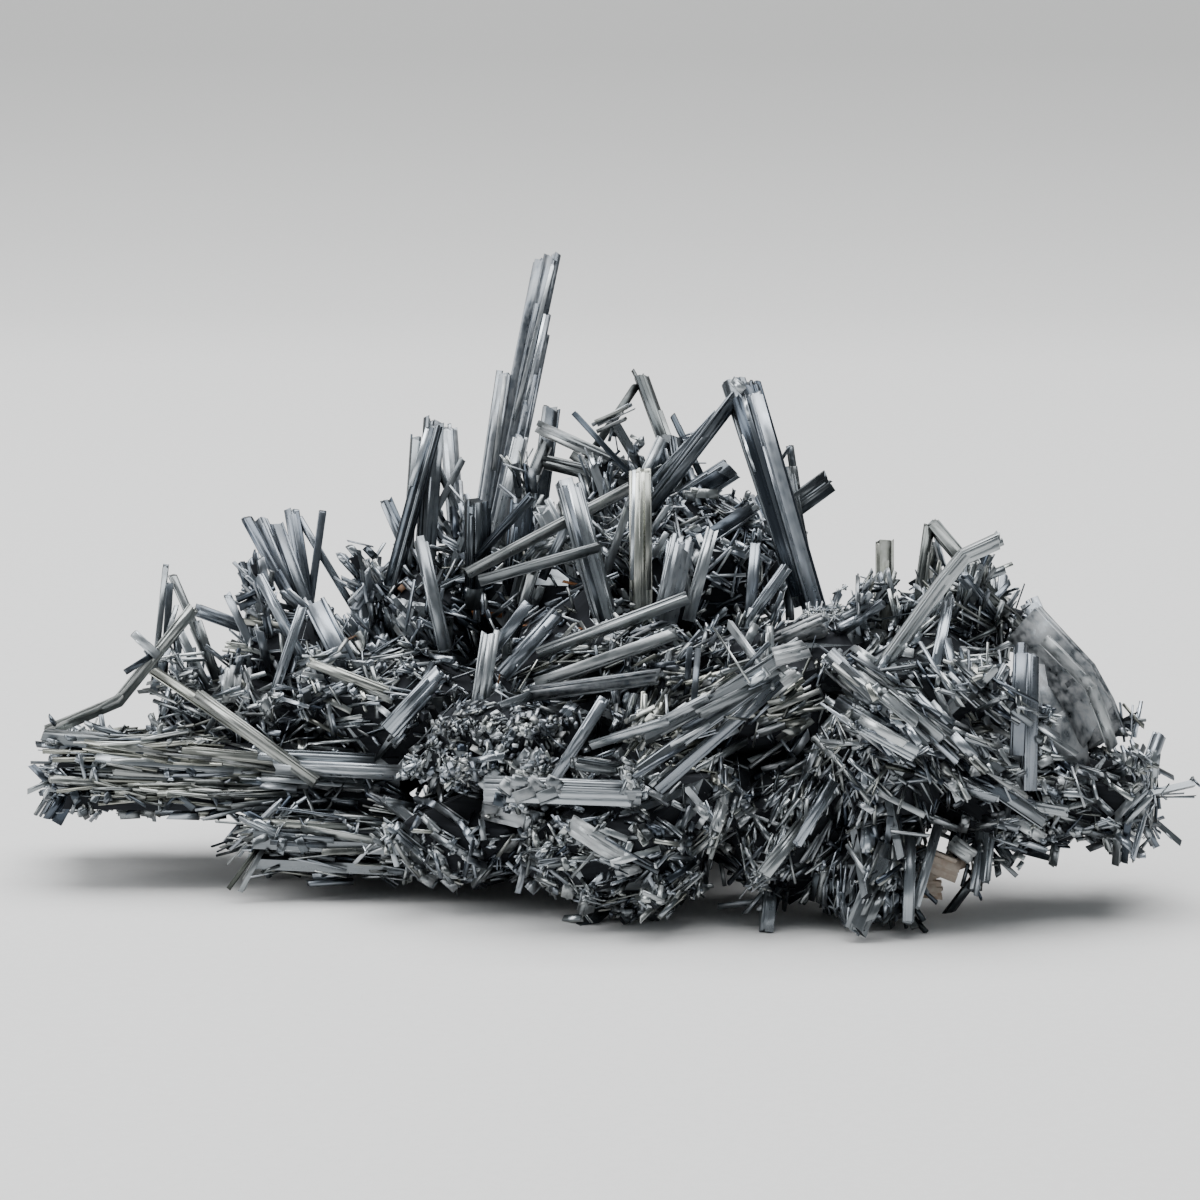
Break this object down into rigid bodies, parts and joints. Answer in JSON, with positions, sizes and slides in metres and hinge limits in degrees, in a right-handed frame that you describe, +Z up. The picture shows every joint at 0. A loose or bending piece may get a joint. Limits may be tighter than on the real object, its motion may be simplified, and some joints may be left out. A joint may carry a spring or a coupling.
{
  "type": "stibnite crystal spray",
  "caption": "Hand-sized spray of steel-grey stibnite prisms crossing every way out of a dense bladed mass, resting on the flat spots of its broken underside.",
  "frame": {"origin": "middle of the spray in plan, on the surface that it rests on", "axes": "+X to the right along its length, from the bladed ledge to the rounded lobe; +Y to the back; +Z up"},
  "size_m": [0.1158, 0.0637, 0.0598],
  "materials": {
    "blue_grey_crystal": "metallic, striated, faint blue",
    "olive_grey_crystal": "metallic, striated, faint olive tarnish",
    "dark_crystal_mass": "metallic grains and blades, dusty in places"
  },
  "bodies": {
    "root": {"crystal_mass": "dark_crystal_mass", "leaning_rod": "olive_grey_crystal", "ledge_rods": "olive_grey_crystal", "left_gable": "olive_grey_crystal", "left_bar": "blue_grey_crystal", "left_needle": "blue_grey_crystal", "stout_left": "blue_grey_crystal", "left_rod": "blue_grey_crystal", "fan_front": "blue_grey_crystal", "fan_back": "blue_grey_crystal", "fan_low": "blue_grey_crystal", "slim_prop": "blue_grey_crystal", "stub_pair": "blue_grey_crystal", "lying_rod": "olive_grey_crystal", "left_pillar": "blue_grey_crystal", "left_tower": "olive_grey_crystal", "tower_stub": "blue_grey_crystal", "pale_back_post": "blue_grey_crystal", "spire": "blue_grey_crystal", "spire_flank": "blue_grey_crystal", "back_peg": "blue_grey_crystal", "back_rods": "olive_grey_crystal", "crossing_needle": "blue_grey_crystal", "roof_pair": "olive_grey_crystal", "short_rod": "blue_grey_crystal", "pale_lath": "blue_grey_crystal", "peak": "blue_grey_crystal", "tab_plate": "olive_grey_crystal", "bright_pillar": "olive_grey_crystal", "middle_pillar": "blue_grey_crystal", "middle_bar": "olive_grey_crystal", "cross_bar": "olive_grey_crystal", "wedge": "blue_grey_crystal", "dull_block": "blue_grey_crystal", "striated_block": "blue_grey_crystal", "shelf_plates": "blue_grey_crystal", "cup_blade": "blue_grey_crystal", "fan_blade": "blue_grey_crystal", "slab_blade": "blue_grey_crystal", "glint_rod": "blue_grey_crystal", "arm_top": "olive_grey_crystal", "arm_middle": "olive_grey_crystal", "arm_low": "olive_grey_crystal", "pale_post": "blue_grey_crystal", "plug_rod": "blue_grey_crystal", "twin_rod": "blue_grey_crystal", "dull_diagonal": "blue_grey_crystal", "sparkling_rod": "blue_grey_crystal", "lobe_bent_blade": "blue_grey_crystal", "lobe_gable": "olive_grey_crystal", "lobe_pillar": "olive_grey_crystal", "lobe_small_pillar": "blue_grey_crystal", "lobe_peg": "blue_grey_crystal", "lobe_stub": "blue_grey_crystal", "lobe_posts": "blue_grey_crystal", "grey_shell": "blue_grey_crystal", "corner_peg": "blue_grey_crystal"}
  },
  "joints": []
}
